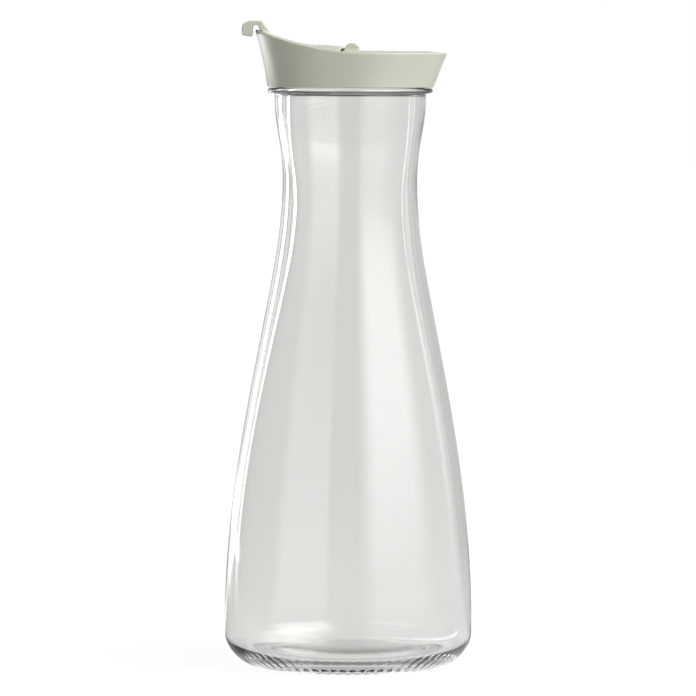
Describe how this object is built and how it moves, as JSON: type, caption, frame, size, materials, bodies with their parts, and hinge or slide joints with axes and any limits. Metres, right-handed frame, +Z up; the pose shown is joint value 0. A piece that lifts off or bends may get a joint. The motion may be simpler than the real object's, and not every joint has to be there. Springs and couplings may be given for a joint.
{
  "type": "glass jug with lid",
  "caption": "Waisted clear glass carafe with a screw-on flared pouring lid; a hinged flap covers the beak and hooks over its lip.",
  "frame": {"origin": "centre of the foot, on the plane that the jug stands on", "axes": "+Z up along the jug's axis, -X towards the lid's beak, Y along the flap's hinge"},
  "size_m": [0.104, 0.104, 0.271],
  "materials": {
    "glass": "clear, polished",
    "seal": "matte silicone",
    "lid_plastic": "satin",
    "pin": "drawn"
  },
  "bodies": {
    "jug": {"glass_jug": "glass"},
    "seal": {"seal_ring": "seal"},
    "lid": {"screw_insert": "lid_plastic", "lid_shell": "lid_plastic", "rear_cover": "lid_plastic", "hinge_pin": "pin"},
    "flap": {"flap": "lid_plastic"}
  },
  "joints": [
    {"name": "lid_rise", "type": "slide", "parent": "jug", "child": "seal", "axis": [0, 0, 1], "range_m": [0, 0.006]},
    {"name": "lid_turn", "type": "hinge", "parent": "seal", "child": "lid", "pos_m": [0, 0, 0.2435], "axis": [0, 0, 1], "range_deg": [0, 360]},
    {"name": "flap_open", "type": "hinge", "parent": "lid", "child": "flap", "pos_m": [0.0008, 0, 0.2583], "axis": [0, 1, 0], "range_deg": [0, 110]}
  ],
  "couplings": [
    {"joint": "lid_rise", "follows": "lid_turn", "m_per_rad": 0.00095493}
  ]
}
